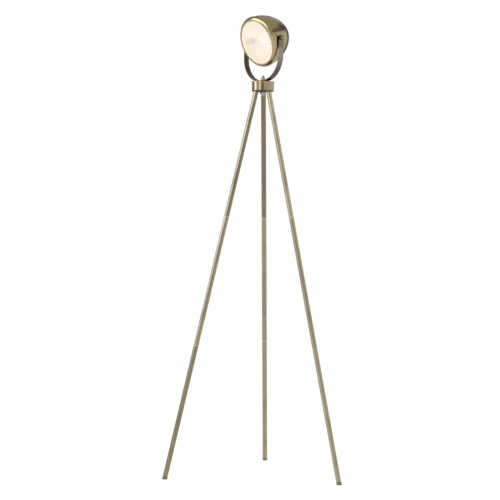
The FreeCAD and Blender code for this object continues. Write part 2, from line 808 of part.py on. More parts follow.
def lens_gasket():
    """A rubber angle: a ring behind the glass with a lip round its edge."""
    edge = lens_radius + size.press_gap
    glass_back = size.lens_plane - size.lens_thickness
    lip_high = size.lens_plane - size.gasket_lip_set
    outer = edge + size.gasket_lip
    path = [(lens_radius - size.gasket_width, gasket_back()), (outer, gasket_back()),
            (outer, lip_high), (edge, lip_high), (edge, glass_back),
            (lens_radius - size.gasket_width, glass_back)]
    keep("lens_gasket", turned("lens_gasket", path, head_place()))


def reflector():
    """A spun bowl with a flat rim, open at the back for the lamp."""
    wall = size.reflector_wall
    mouth = view_radius - size.reflector_rim
    neck = size.reflector_neck_dia / 2
    front = gasket_back()
    back = ball_centre - size.reflector_neck_set
    curve = size.reflector_radius
    flange = lens_radius + size.gasket_lip
    path = [(neck, back), (mouth, front, curve, 1), (flange, front),
            (flange, front - wall), (mouth + wall, front - wall),
            (neck, back - wall, curve + wall, -1)]
    keep("reflector", turned("reflector", path, head_place()))


def retaining_ring():
    """A split spring ring between the bezel's shelf and the reflector's rim."""
    low = size.shell_front + size.bezel_wall
    high = gasket_back() - size.reflector_wall
    outer = bezel_radius - size.bezel_wall - size.ring_room
    body = new_body("retaining_ring")
    spin(body, ring(outer - size.ring_width, outer, low, high))
    sketch = new_sketch(body, "XZ_Plane")
    draw_outline(sketch, [(-size.ring_split / 2, low - size.small_edge),
                          (size.ring_split / 2, low - size.small_edge),
                          (size.ring_split / 2, high + size.small_edge),
                          (-size.ring_split / 2, high + size.small_edge)])
    one_side_cut(body, sketch)
    body.Placement = head_place()
    keep("retaining_ring", body)


# ---------------------------------------------------------------------------
# Head: lamp, lampholder and cord inlet

nut_radius = size.lock_nut_dia / 2
nipple_radius = size.nipple_dia / 2
inner_nut_back = shell_back_at(nut_radius, size.shell_wall)
inner_nut_front = inner_nut_back + size.lock_nut_height
outer_nut_front = shell_back_at(nipple_radius + size.bore_gap)
outer_nut_back = outer_nut_front - size.lock_nut_height
holder_low = inner_nut_front
holder_high = holder_low + size.holder_length
web_low = holder_low + size.holder_back + size.holder_chamber
web_high = web_low + size.holder_web
cap_low = web_high
cap_high = cap_low + size.cap_length
glass_front = cap_high + size.bulb_length
ball_centre = glass_front - size.bulb_dia / 2


def lampholder():
    radius = size.holder_dia / 2
    chamber = size.holder_chamber_dia / 2
    bore = size.cap_dia / 2 + size.press_gap
    entry = nipple_radius + size.press_gap
    edge = size.holder_edge
    path = [(entry, holder_low), (radius - edge, holder_low), (radius, holder_low + edge),
            (radius, holder_high - edge), (radius - edge, holder_high), (bore, holder_high),
            (bore, web_high), (ZERO, web_high), (ZERO, web_low), (chamber, web_low),
            (chamber, holder_low + size.holder_back), (entry, holder_low + size.holder_back)]
    keep("lampholder", turned("lampholder", path, head_place()))


def bulb():
    """The lamp: a screw cap and a round glass on a tapered neck."""
    cap = size.cap_dia / 2
    tip = size.cap_tip_dia / 2
    keep("bulb_cap", turned("bulb_cap", [
        (ZERO, cap_low), (tip, cap_low), (cap, cap_low + size.cap_cone), (cap, cap_high),
        (ZERO, cap_high)], head_place()))
    neck = size.bulb_neck_dia / 2
    ball = size.bulb_dia / 2
    inner = ball - size.bulb_wall
    flare = (cosine(size.bulb_flare), sine(size.bulb_flare))
    keep("bulb_glass", turned("bulb_glass", [
        (ZERO, glass_front), (ball, ball_centre, ball, -1),
        (ball * flare[0], ball_centre - ball * flare[1], ball, -1), (neck, cap_high),
        (neck - size.bulb_wall, cap_high), (inner * flare[0], ball_centre - inner * flare[1]),
        (inner, ball_centre, inner, 1), (ZERO, glass_front - size.bulb_wall, inner, 1)],
        head_place()))


def cord_inlet():
    """A hollow nipple through the shell's back, with a nut on each side."""
    low = outer_nut_back - size.nipple_tail
    high = holder_low + size.holder_back + size.small_edge
    keep("inlet_nipple", turned("inlet_nipple", ring(size.nipple_bore / 2, nipple_radius, low, high),
                                head_place()))
    bore = nipple_radius + size.press_gap
    for name, back in (("inner_lock_nut", inner_nut_back), ("outer_lock_nut", outer_nut_back)):
        path = bevelled_ring(bore, nut_radius, back, back + size.lock_nut_height, size.small_edge)
        keep(name, turned(name, path, head_place()))


# ---------------------------------------------------------------------------
# Tilt hinge: the same pieces on both sides of the head

inner_washer_in = half_gap - size.play - size.tilt_washer_height
outer_washer_in = arm_outside + size.play
tilt_head_in = outer_washer_in + size.tilt_washer_height
tilt_screw_radius = size.tilt_screw_dia / 2
tilt_bore = tilt_screw_radius + size.press_gap
weld_nut_in = shell_radius_at(ZERO, size.shell_wall) - size.weld_nut_height


def both_sides(node, maker):
    """The same piece on the right and the left of the head."""
    keep_group(node, [maker(f"{node}_{side}", head_place(roll))
                      for side, roll in (("right", 0), ("left", 180))])


def pivot_boss(name, place):
    """A short sleeve whose inner end is hollowed to sit on the shell."""
    radius = size.boss_dia / 2
    body = new_body(name)
    spin(body, [(weld_nut_in, tilt_bore), (inner_washer_in, tilt_bore),
                (inner_washer_in, radius), (weld_nut_in, radius)], "H_Axis")
    low = -radius - size.small_edge
    high = radius + size.small_edge
    spin(body, [(ZERO, low), (shell_radius_at(low), low),
                (shell_radius_at(high), high, side_radius, 1), (ZERO, high)], cut=True)
    body.Placement = place
    return body


def weld_nut(name, place):
    """A round nut whose outer end is shaped to the inside of the shell."""
    radius = size.weld_nut_dia / 2
    body = new_body(name)
    spin(body, [(weld_nut_in, tilt_bore), (shell_radius, tilt_bore),
                (shell_radius, radius), (weld_nut_in, radius)], "H_Axis")
    low = -radius - size.small_edge
    high = radius + size.small_edge
    wall = size.shell_wall
    beyond = shell_radius + size.boss_dia
    spin(body, [(beyond, low), (beyond, high), (shell_radius_at(high, wall), high),
                (shell_radius_at(low, wall), low, side_radius - wall, -1)], cut=True)
    body.Placement = place
    return body


def tilt_screw(name, place):
    """A round-headed screw: its shank is the hinge pin."""
    tip = weld_nut_in - size.screw_tip
    head = size.tilt_head_dia / 2
    crown = tilt_head_in + size.tilt_head_height
    edge = size.tilt_head_round
    return turned(name, [
        (tip, ZERO), (tip, tilt_screw_radius - size.small_edge),
        (tip + size.small_edge, tilt_screw_radius), (tilt_head_in, tilt_screw_radius),
        (tilt_head_in, head), (crown - edge, head), (crown, head - edge, edge, -1),
        (crown, ZERO)], place, "H_Axis")


def tilt_washer(inside):
    def maker(name, place):
        radius = size.tilt_washer_dia / 2
        outside = inside + size.tilt_washer_height
        return turned(name, [(inside, tilt_bore), (outside, tilt_bore), (outside, radius),
                             (inside, radius)], place, "H_Axis")
    return maker


def tilt_hinge():
    both_sides("pivot_bosses", pivot_boss)
    both_sides("weld_nuts", weld_nut)
    both_sides("tilt_screws", tilt_screw)
    both_sides("inner_washers", tilt_washer(inner_washer_in))
    both_sides("outer_washers", tilt_washer(outer_washer_in))


# ---------------------------------------------------------------------------
# The whole lamp

def build():
    for index in range(size.leg_count.value):
        leg(index)
    hub_group()
    yoke()
    shell()
    bezel()
    bezel_screws()
    lens()
    lens_gasket()
    reflector()
    retaining_ring()
    lampholder()
    bulb()
    cord_inlet()
    tilt_hinge()
    doc.recompute()


def check():
    """Stop before anything is written if an object failed or a shape is unsound."""
    for thing in doc.Objects:
        if "Invalid" in thing.State or "Error" in thing.State:
            raise RuntimeError(f"{thing.Label} did not recompute: {thing.State}")
    for node, thing in subparts.items():
        if thing.Shape.isNull() or not thing.Shape.isValid() or not thing.Shape.Solids:
            raise RuntimeError(f"{node} has no sound shape")


def write():
    os.makedirs("parts", exist_ok=True)
    for node, thing in subparts.items():
        thing.Shape.exportStep(f"parts/{node}.step")


build()
check()
write()
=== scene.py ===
"""Looks of a tripod spotlight floor lamp: antique brass, lit glass and a plain studio."""

import json
import math

import bmesh
import bpy
from mathutils import Euler, Matrix, Vector


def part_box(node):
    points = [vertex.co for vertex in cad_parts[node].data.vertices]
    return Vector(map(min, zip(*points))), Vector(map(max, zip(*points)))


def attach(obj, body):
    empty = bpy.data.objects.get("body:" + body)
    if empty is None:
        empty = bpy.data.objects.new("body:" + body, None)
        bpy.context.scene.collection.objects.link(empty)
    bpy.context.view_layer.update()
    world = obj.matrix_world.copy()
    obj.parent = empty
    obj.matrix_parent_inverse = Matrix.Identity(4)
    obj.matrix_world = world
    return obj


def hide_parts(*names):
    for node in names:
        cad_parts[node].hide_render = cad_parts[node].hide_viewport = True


bl_info = {
    "name": "Spotlight Floor Lamp",
    "version": (1, 0, 0),
    "blender": (4, 5, 0),
    "location": "View3D > Sidebar > Lamp",
    "description": "Finishes a brass tripod spotlight lamp and sets up its studio",
    "category": "Object",
}

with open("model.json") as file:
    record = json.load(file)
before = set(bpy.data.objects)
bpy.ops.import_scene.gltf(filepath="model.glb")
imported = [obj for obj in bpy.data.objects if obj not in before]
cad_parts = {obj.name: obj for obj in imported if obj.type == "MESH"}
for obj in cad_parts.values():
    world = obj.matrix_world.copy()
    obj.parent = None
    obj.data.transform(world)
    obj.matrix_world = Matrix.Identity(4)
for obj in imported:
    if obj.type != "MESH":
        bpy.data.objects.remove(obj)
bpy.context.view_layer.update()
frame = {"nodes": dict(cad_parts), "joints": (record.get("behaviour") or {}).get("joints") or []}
JOINTS = {joint["name"]: joint for joint in frame["joints"]}
TILT_AXIS = Vector(JOINTS["tilt"]["pos_m"])
HUB_AXIS = Vector(JOINTS["pan"]["pos_m"])
MM = 0.001
WHITE = (1.0, 1.0, 1.0, 1.0)

# The yoke as the CAD model bends it: half its flat base, the inner radius of its two bends and
# how far each arm runs straight below the tilt axis
YOKE_FLAT = 8.5 * MM
YOKE_INNER = 77 * MM
ARM_STRAIGHT = 55 * MM

# Colours that belong to one finish and aren't for a user to choose
# Painted shade: the dark brown mixed into the brass under the hub, on the yoke and round the tilt
# screws
PAINTED_SHADE_BROWN = (0.055, 0.042, 0.03, 1.0)
RUDDY_BRASS = (0.42, 0.275, 0.155, 1.0)
CAP_BRASS = (0.6, 0.5, 0.3, 1.0)
DULL_STEEL = (0.16, 0.15, 0.13, 1.0)
WASHER_FIBRE = (0.05, 0.035, 0.025, 1.0)
HOLDER_PLASTIC = (0.02, 0.018, 0.016, 1.0)
GASKET_SILICONE = (0.78, 0.66, 0.46, 1.0)
GASKET_LIGHT = (1.0, 0.83, 0.60, 1.0)
CLEAR_GLASS = (1.0, 0.96, 0.90, 1.0)
REFLECTOR_METAL = (0.14, 0.13, 0.12, 1.0)
BULB_OPAL = (0.16, 0.15, 0.13, 1.0)
BULB_WARM = (1.0, 0.86, 0.71, 1.0)
FLOOR_PALE = (0.9, 0.9, 0.9, 1.0)

# Light on the reflector, and its soft patches: across, up, breadth, share and colour
REFLECTOR_RIM = (1.0, 0.82, 0.58, 1.0)
REFLECTOR_STREAK = (1.0, 0.94, 0.86, 1.0)
BOW_TIE = (1.0, 0.97, 0.90, 1.0)
BOW_TIE_TURN = math.radians(145)
LAMP_IMAGE = (1.0, 1.0, 0.97, 1.0)
LIGHT_PATCHES = (
    (-43 * MM, 30 * MM, 24 * MM, 0.75, (1.0, 0.97, 0.89, 1.0)),
    (-57 * MM, 2 * MM, 16 * MM, 0.85, (0.60, 0.47, 0.33, 1.0)),
    (-46 * MM, -30 * MM, 34 * MM, 0.60, (1.0, 0.78, 0.66, 1.0)),
    (30 * MM, -36 * MM, 30 * MM, 0.65, (1.0, 0.79, 0.73, 1.0)),
)

# Screws: shank radius, length under the head, head radius, head height and the rise of its
# dome. Then the slot's depth, the height above which it cuts, and each slot's angle in degrees
BEZEL_SCREW = (1.5 * MM, 6 * MM, 2.7 * MM, 1.6 * MM, 1.1 * MM)
BEZEL_SLOT = (0.6 * MM, 0.8 * MM)
BEZEL_TWISTS = (20, 75, 130)
TILT_SCREW = (3.0 * MM, 15.5 * MM, 7.0 * MM, 5.5 * MM, 3.6 * MM)
TILT_SLOT = (1.5 * MM, 3.0 * MM)
TILT_TWISTS = {1: 35, -1: 100}

# Where the bezel's screws stand: the first one's angle round the head, and how far they are
# in front of the tilt axis
BEZEL_SCREW_ROLL = 10
BEZEL_SCREW_FRONT = 14 * MM

# Edges of a new piece that bend by more than this stay crisp
SHARP_FROM = math.radians(35)

# Light that the floor gives back for each part of its white that its shadow takes
SHADOW_MAKE_UP = 0.6

# Soft box of the studio: bearing and height in degrees as seen from the head, and metres
SOFT_BOX_AIM = (235, 24)
SOFT_BOX_DISTANCE = 5.0
SOFT_BOX_SIZE = (2.2, 4.0)

# Camera, fitted to the photograph: metres and degrees
CAMERA_AROUND = 50
CAMERA_DISTANCE = 5.075
CAMERA_HEIGHT = 0.790
CAMERA_TURNS = (-0.37, -0.64, 0.98)
SENSOR_WIDTH = 36.0


# ---------------------------------------------------------------------------
# What a user would change

def colour_choice(name, text, value):
    """A colour in the sidebar, from its red, green and blue."""
    return bpy.props.FloatVectorProperty(
        name=name, description=text, subtype="COLOR", size=4, min=0.0, max=1.0,
        default=(*value, 1.0))


def length_choice(name, text, value):
    """A length in the sidebar, in metres."""
    return bpy.props.FloatProperty(
        name=name, description=text, unit="LENGTH", subtype="DISTANCE", default=value)


class LampColours(bpy.types.PropertyGroup):
    """Colours of the lamp's finishes."""

    leg_brass: colour_choice("Leg brass", "Clean brass of the leg tubes", (0.36, 0.305, 0.215))
    leg_olive: colour_choice("Leg olive", "Greener brass of the leg tubes", (0.37, 0.325, 0.205))
    hub_brass: colour_choice("Hub brass", "Clean brass of the hub", (0.40, 0.33, 0.20))
    yoke_brass: colour_choice("Yoke brass", "Clean brass of the yoke", (0.30, 0.26, 0.19))
    shell_brass: colour_choice("Shell brass", "Clean brass of the shell", (0.37, 0.30, 0.16))
    bezel_brass: colour_choice("Bezel brass", "Clean brass of the bezel", (0.41, 0.33, 0.185))
    screw_brass: colour_choice("Screw brass", "Brass of the screws", (0.27, 0.21, 0.135))
    patina: colour_choice("Patina", "Brown tarnish on the brass", (0.115, 0.078, 0.042))
    bare_steel: colour_choice("Bare steel", "Turned nuts and washers", (0.42, 0.40, 0.37))
    rubber: colour_choice("Rubber", "Rubber of the feet", (0.23, 0.185, 0.14))
    glow: colour_choice("Glow", "Light on the reflector", (1.0, 0.82, 0.66))


class LampSizes(bpy.types.PropertyGroup):
    """Sizes of the details that only the looks need."""

    bezel_slot: length_choice("Bezel screw slot", "Width of the slot in a bezel screw", 0.8 * MM)
    tilt_slot: length_choice("Tilt screw slot", "Width of the slot in a tilt screw", 1.6 * MM)
    # Painted highlight: seam glow sets how far below a seam the tube is lightened
    seam_glow: length_choice("Seam glow", "How far below a seam the tube is polished", 55 * MM)
    seam_wear: length_choice("Seam wear", "Breadth of the rubbed band at a tube's end", 2.2 * MM)
    rest_tilt: bpy.props.FloatProperty(
        name="Rest tilt", description="How far the head looks down at rest",
        subtype="ANGLE", unit="ROTATION", default=math.radians(21.5))


class StageLevels(bpy.types.PropertyGroup):
    """Light and camera of the studio."""

    key: bpy.props.FloatProperty(
        name="Key light", description="Power of the soft box", default=74.0, unit="POWER")
    sky: bpy.props.FloatProperty(
        name="Sky", description="Strength of the even light from all sides", default=0.65)
    shadow: bpy.props.FloatProperty(
        name="Shadow", description="How much of the floor's shadow shows", default=0.2,
        subtype="FACTOR", min=0.0, max=1.0)
    card_light: bpy.props.FloatProperty(
        name="Card light", description="How far the dark cards are lifted towards white",
        default=0.0, subtype="FACTOR", min=0.0, max=1.0)
    card_distance: length_choice("Card distance", "How far the cards stand from the head", 6.0)
    lens: bpy.props.FloatProperty(
        name="Focal length", description="Camera's focal length in millimetres", default=111.86)


# ---------------------------------------------------------------------------
# Materials written as expressions

class Value:
    """A number or vector that varies over a surface; Python's operators add Math nodes."""

    def __init__(self, finish, socket):
        self.finish = finish
        self.socket = socket

    def maths(self, operation, *others):
        inputs = dict(enumerate((self, *others)))
        return self.finish.node("ShaderNodeMath", {"operation": operation}, inputs).value()

    def __add__(self, other):
        return self.maths("ADD", other)

    __radd__ = __add__

    def __sub__(self, other):
        return self.maths("SUBTRACT", other)

    def __rsub__(self, other):
        return self.finish.node(
            "ShaderNodeMath", {"operation": "SUBTRACT"}, {0: other, 1: self}).value()

    def __mul__(self, other):
        return self.maths("MULTIPLY", other)

    __rmul__ = __mul__

    def __abs__(self):
        return self.maths("ABSOLUTE")

    def limited(self):
        """The same, held between 0 and 1."""
        return self.finish.node("ShaderNodeClamp", {}, {"Value": self}).value()

    def rising(self, low, high):
        """0 below low and 1 above high, with a soft step between them."""
        return self.finish.node(
            "ShaderNodeMapRange", {"interpolation_type": "SMOOTHSTEP"},
            {"Value": self, "From Min": low, "From Max": high}).value()


class Step:
    """One node of a finish."""

    def __init__(self, finish, node):
        self.finish = finish
        self.node = node

    def value(self, output=0):
        return Value(self.finish, self.node.outputs[output])


class Finish:
    """A material, or the world's light, built up from its nodes."""

    def __init__(self, name, kind="materials"):
        self.owner = getattr(bpy.data, kind).new(name)
        self.owner.use_nodes = True
        self.tree = self.owner.node_tree
        self.tree.nodes.clear()

    def node(self, kind, settings, inputs):
        made = self.tree.nodes.new(kind)
        for setting, choice in settings.items():
            setattr(made, setting, choice)
        for place, value in inputs.items():
            if isinstance(value, Value):
                self.tree.links.new(value.socket, made.inputs[place])
            else:
                made.inputs[place].default_value = value
        return Step(self, made)

    def place(self, origin=(0, 0, 0), turn=(0, 0, 0)):
        """Object coordinates in metres, in a frame of the piece's own."""
        spot = self.node("ShaderNodeTexCoord", {}, {}).value("Object")
        return self.node("ShaderNodeMapping", {"vector_type": "TEXTURE"},
                         {"Vector": spot, "Location": origin, "Rotation": turn}).value()

    def parts(self, vector):
        split = self.node("ShaderNodeSeparateXYZ", {}, {"Vector": vector})
        return split.value("X"), split.value("Y"), split.value("Z")

    def turned(self, spot):
        """Distance from the axis and height along it."""
        x, y, z = self.parts(spot)
        return (x * x + y * y).maths("SQRT"), z

    def joined(self, x, y, z):
        return self.node("ShaderNodeCombineXYZ", {}, {"X": x, "Y": y, "Z": z}).value()

    def noise(self, vector, scale, detail=3.0, roughness=0.55):
        return self.node("ShaderNodeTexNoise", {}, {
            "Vector": vector, "Scale": scale, "Detail": detail, "Roughness": roughness}).value()

    def mixed(self, share, first, second):
        mix = self.node("ShaderNodeMix", {"data_type": "RGBA"}, {0: share, 6: first, 7: second})
        return mix.value(2)

    def scaled(self, colour, share):
        return self.node("ShaderNodeVectorMath", {"operation": "SCALE"},
                         {"Vector": colour, "Scale": share}).value()

    def bump(self, height, strength, distance):
        return self.node("ShaderNodeBump", {}, {
            "Height": height, "Strength": strength, "Distance": distance}).value()

    def surface(self, inputs):
        """Close the material with a Principled shader."""
        shader = self.node("ShaderNodeBsdfPrincipled", {}, inputs)
        self.node("ShaderNodeOutputMaterial", {}, {"Surface": shader.value()})
        return self.owner


def metal(name, clean, patina, grain, clouds, shine, tarnish, wear_and_highlight=None):
    """Antique metal: grain is the brushing, clouds the slow stain under it."""
    finish = grain.finish
    stain = clouds.rising(0.42, 0.72)
    dark = stain * tarnish + (grain - 0.5) * 0.24
    # The last mask lightens the metal: painted highlights below the leg seams and along the
    # yoke's edges
    if wear_and_highlight is not None:
        dark = dark - wear_and_highlight * 0.3
    colour = finish.mixed(dark.limited(), clean, patina)
    rough = (shine + (grain - 0.5) * 0.14 + stain * 0.08).limited()
    return finish.surface({
        "Base Color": colour, "Metallic": 1.0, "Roughness": rough,
        "Normal": finish.bump(grain, 0.12, 0.06 * MM)})


def drawn_tube_brass(name, colours, reflection_tones, origin, turn, seams, sizes):
    """Brass of a leg: fine lines along the tube, and a painted highlight at and below each seam.
    """
    finish = Finish(name)
    spot = finish.place(origin, turn)
    x, y, along = finish.parts(spot)
    grain = finish.noise(finish.joined(x * 900, y * 900, along * 9), 1.0, 4.0)
    clouds = finish.noise(spot, 11.0, 4.0)
    drift = finish.noise(finish.joined(0.0, 0.0, along * 3.4), 1.0, 1.0).rising(0.40, 0.60)
    # Painted highlight: the tube lighter at each seam and for a stretch below it
    wear_and_highlight = None
    for seam in seams:
        below = (seam - along).maths("MAXIMUM", 0.0)
        above = (along - seam).maths("MAXIMUM", 0.0)
        near = (1 - below.rising(0.0, sizes.seam_glow)) * (1 - above.rising(0.0, sizes.seam_wear))
        wear_and_highlight = near if wear_and_highlight is None else wear_and_highlight.maths("MAXIMUM", near)
    clean = finish.mixed(drift, colours.leg_brass, colours.leg_olive)
    # Painted reflection: each tube of the leg made lighter or darker by its own tone
    tone = reflection_tones[0]
    for seam, change in zip(seams[1:], (reflection_tones[1] - reflection_tones[0], reflection_tones[2] - reflection_tones[1])):
        tone = tone + (along - seam).rising(-0.3 * MM, 0.3 * MM) * change
    for seam in seams[1:]:
        away = abs(along - seam)
        tone = tone + (1 - away.rising(sizes.seam_wear * 0.5, sizes.seam_wear)) * 0.7
        tone = tone - (1 - away.rising(0.0, 0.5 * MM)) * 0.9
    clean = finish.scaled(clean, tone)
    return metal(name, clean, colours.patina, grain, clouds, 0.23, 0.34, wear_and_highlight)


def turned_brass(name, clean, patina, origin, shine, tarnish, underside=-1.0,
                 turn=(0, 0, 0), shaded_rim=1.0):
    """Brass turned round an axis, with fine rings, and painted shade at a rim and on its
    underside.

    A rim or underside a metre away, as they are unless given, is off the piece.
    """
    finish = Finish(name)
    spot = finish.place(origin, turn)
    radius, z = finish.turned(spot)
    grain = finish.noise(finish.joined(radius * 1500, z * 1500, 0.0), 1.0, 3.0)
    clouds = finish.noise(spot, 26.0, 4.0)
    # Painted shade: dark brown on the underside and the few millimetres above it, and outside the
    # shaded rim
    below = 1 - z.rising(underside + 0.2 * MM, underside + 4 * MM)
    rim = radius.rising(shaded_rim - 1.2 * MM, shaded_rim) * 0.8
    clean = finish.mixed(below.maths("MAXIMUM", rim), clean, PAINTED_SHADE_BROWN)
    return metal(name, clean, patina, grain, clouds, shine, tarnish)


def spun_brass(name, clean, patina, origin, turn, shine, tarnish, ruddy=0.0):
    """Brass spun round the head's axis, with fine rings and a ruddier tone in places."""
    finish = Finish(name)
    spot = finish.place(origin, turn)
    x, y, z = finish.parts(spot)
    radius = (x * x + y * y).maths("SQRT")
    grain = finish.noise(finish.joined(radius * 620, z * 620, 0.0), 1.0, 4.0)
    scuffs = finish.noise(spot, 34.0, 5.0)
    clouds = finish.noise(spot, 9.0, 3.0) * 0.7 + scuffs * 0.3
    heat = (scuffs * (30 * MM) - z).rising(0.0, 60 * MM) * y.rising(8 * MM, 40 * MM)
    clean = finish.mixed(heat * ruddy, clean, RUDDY_BRASS)
    return metal(name, clean, patina, grain, clouds, shine, tarnish)


def strip_brass(name, colours, origin, bend_height):
    """Brass of the yoke: brushed along the strip, whose width is along Y, with painted shade in
    its bend.
    """
    finish = Finish(name)
    spot = finish.place(origin)
    x, y, z = finish.parts(spot)
    grain = finish.noise(finish.joined(x * 12, y * 1300, z * 12), 1.0, 4.0)
    clouds = finish.noise(spot, 17.0, 4.0)
    # Painted highlight: the strip lighter towards its edges
    edge = abs(y).rising(7.8 * MM, 9.4 * MM)
    # Painted shade: dark low on the yoke under the head, high on the arms beside the head, and on
    # the inner faces that look at the head
    bend = 1 - (z + clouds * (30 * MM)).rising(20 * MM, 100 * MM)
    hinge = z.rising(85 * MM, 112 * MM) * 0.45
    across = (abs(x) - YOKE_FLAT).maths("MAXIMUM", 0.0)
    down = (bend_height - z).maths("MAXIMUM", 0.0)
    from_centre = (across * across + down * down).maths("SQRT")
    inner = (1 - from_centre.rising(YOKE_INNER + 1.3 * MM, YOKE_INNER + 1.7 * MM)) * 0.55
    dark = (bend * 0.95).maths("MAXIMUM", hinge).maths("MAXIMUM", inner)
    shaded_brass = finish.mixed(dark, colours.yoke_brass, PAINTED_SHADE_BROWN)
    return metal(name, shaded_brass, colours.patina, grain, clouds, 0.26, 0.45, edge)


def plain_steel(name, clean, origin, shine):
    """Turned steel with fine rings, a little dulled."""
    finish = Finish(name)
    spot = finish.place(origin)
    radius, z = finish.turned(spot)
    grain = finish.noise(finish.joined(radius * 1800, z * 1800, 0.0), 1.0, 2.0)
    smear = finish.noise(spot, 60.0, 3.0)
    return metal(name, clean, DULL_STEEL, grain, smear, shine, 0.2)


def matt(name, colour, rough, fleck, lit=0.0):
    """Rubber, fibre or moulded plastic with a fine grain, or silicone lit from behind."""
    finish = Finish(name)
    spot = finish.place()
    grain = finish.noise(spot, 1400.0, 2.0)
    dust = finish.noise(spot, 70.0, 4.0).rising(0.5, 0.8)
    pale = tuple(min(channel * 2.2 + 0.02, 1.0) for channel in colour[:3]) + (1.0,)
    return finish.surface({
        "Base Color": finish.mixed(dust * fleck, colour, pale), "Metallic": 0.0,
        "Roughness": (rough + (grain - 0.5) * 0.12).limited(),
        "Emission Color": GASKET_LIGHT, "Emission Strength": lit,
        "Normal": finish.bump(grain, 0.25, 0.08 * MM)})


def lit_reflector(name, glow, origin, turn):
    """Bright inside of the reflector, with the lamp's image, the holder's, and a yellow rim."""
    finish = Finish(name)
    spot = finish.place(origin, turn)
    x, y, z = finish.parts(spot)
    radius = (x * x + y * y).maths("SQRT")
    ripple = finish.noise(finish.joined(radius * 260, z * 260, 0.0), 1.0, 3.0)
    flutes = finish.noise(finish.joined(x * 160, y * 14, 0.0), 1.0, 2.0)
    warm = finish.mixed(radius.rising(52 * MM, 69 * MM), glow, REFLECTOR_RIM)
    for across, over, breadth, share, colour in LIGHT_PATCHES:
        away = ((x - across) * (x - across) + (y - over) * (y - over)).maths("SQRT")
        warm = finish.mixed((1 - away.rising(breadth * 0.2, breadth)) * share, warm, colour)
    bearing = y.maths("ARCTAN2", x) * 2 - 2 * BOW_TIE_TURN
    bow_tie = bearing.maths("COSINE").rising(0.55, 1.0) * radius.rising(12 * MM, 30 * MM)
    warm = finish.mixed(bow_tie * 0.45, warm, BOW_TIE)
    centre = 1 - radius.rising(17 * MM, 36 * MM)
    warm = finish.mixed(centre * 0.85, warm, LAMP_IMAGE)
    light = finish.mixed(flutes.rising(0.35, 0.75) * 0.35, warm, REFLECTOR_STREAK)
    return finish.surface({
        "Base Color": REFLECTOR_METAL, "Metallic": 1.0,
        "Roughness": (ripple * 0.1 + 0.3).limited(),
        "Emission Color": light, "Emission Strength": 0.89,
        "Normal": finish.bump(ripple, 0.1, 0.2 * MM)})


def lit_bulb(name, origin, turn):
    """Opal bulb, whitest at its front, where its own light is strongest."""
    finish = Finish(name)
    spot = finish.place(origin, turn)
    off_axis, z = finish.turned(spot)
    cloud = finish.noise(spot, 30.0, 2.0)
    front = z.rising(-16 * MM, 10 * MM) * (1 - off_axis.rising(8 * MM, 24 * MM))
    white = finish.mixed(front, BULB_WARM, WHITE)
    return finish.surface({
        "Base Color": BULB_OPAL, "Roughness": (cloud * 0.1 + 0.4).limited(),
        "Emission Color": white, "Emission Strength": 0.9})


def clear_glass(name, origin, turn):
    """Glass with faint moulded streaks, through which the reflector shows."""
    finish = Finish(name)
    spot = finish.place(origin, turn)
    x, y, _ = finish.parts(spot)
    streak = finish.noise(finish.joined(x * 140, y * 8, 0.0), 1.0, 3.0)
    haze = finish.noise(spot, 25.0, 3.0)
    return finish.surface({
        "Base Color": CLEAR_GLASS, "Metallic": 0.0,
        "Roughness": (haze * 0.1 + 0.04).limited(),
        "Alpha": (streak * 0.10 + haze * 0.08 + 0.10).limited(),
        "Normal": finish.bump(streak, 0.08, 0.4 * MM)})


# ---------------------------------------------------------------------------
# Shapes

def new_piece(name, shape, material, body):
    """Turn a finished bmesh into a piece that rides on a body."""
    bmesh.ops.recalc_face_normals(shape, faces=shape.faces)
    mesh = bpy.data.meshes.new(name)
    shape.to_mesh(mesh)
    shape.free()
    piece = bpy.data.objects.new(name, mesh)
    bpy.context.scene.collection.objects.link(piece)
    mesh.materials.append(material)
    for face in mesh.polygons:
        face.use_smooth = True
    mesh.set_sharp_from_angle(angle=SHARP_FROM)
    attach(piece, body)
    return piece


def scenery(name, shape, material):
    """Turn a finished bmesh into a part of the studio."""
    mesh = bpy.data.meshes.new(name)
    shape.to_mesh(mesh)
    shape.free()
    mesh.materials.append(material)
    prop = bpy.data.objects.new(name, mesh)
    bpy.context.scene.collection.objects.link(prop)
    return prop


def aim(bearing, height):
    """Direction at a bearing from X and a height above level, both in degrees."""
    bearing, height = math.radians(bearing), math.radians(height)
    level = math.cos(height)
    return Vector((level * math.cos(bearing), level * math.sin(bearing), math.sin(height)))


def paint(node, material):
    """Give a CAD node its finish."""
    slots = frame["nodes"][node].data.materials
    if len(slots):
        slots[0] = material
    else:
        slots.append(material)


def revolve(shape, outline, steps=48):
    """Spin an outline of (radius, height) points round Z into a closed skin."""
    corners = [shape.verts.new((radius, 0, height)) for radius, height in outline]
    edges = [shape.edges.new(pair) for pair in zip(corners, corners[1:])]
    bmesh.ops.spin(shape, geom=corners + edges, cent=(0, 0, 0), axis=(0, 0, 1), dvec=(0, 0, 0),
                   angle=math.tau, steps=steps, use_merge=True, use_duplicate=False)
    bmesh.ops.remove_doubles(shape, verts=shape.verts, dist=1e-7)


def cut_slot(shape, width, depth, top):
    """Press a straight screwdriver slot into the faces near the top."""
    for side in (-1, 1):
        bmesh.ops.bisect_plane(
            shape, geom=shape.verts[:] + shape.edges[:] + shape.faces[:],
            plane_co=(side * width / 2, 0, 0), plane_no=(1, 0, 0), dist=1e-8)
    within = [face for face in shape.faces
              if abs(face.calc_center_median().x) < width / 2
              and face.calc_center_median().z > top and face.normal.z > 0.15]
    grown = bmesh.ops.extrude_face_region(shape, geom=within)
    bmesh.ops.delete(shape, geom=within, context="FACES")
    floor = [item for item in grown["geom"] if isinstance(item, bmesh.types.BMVert)]
    bmesh.ops.translate(shape, verts=floor, vec=(0, 0, -depth))


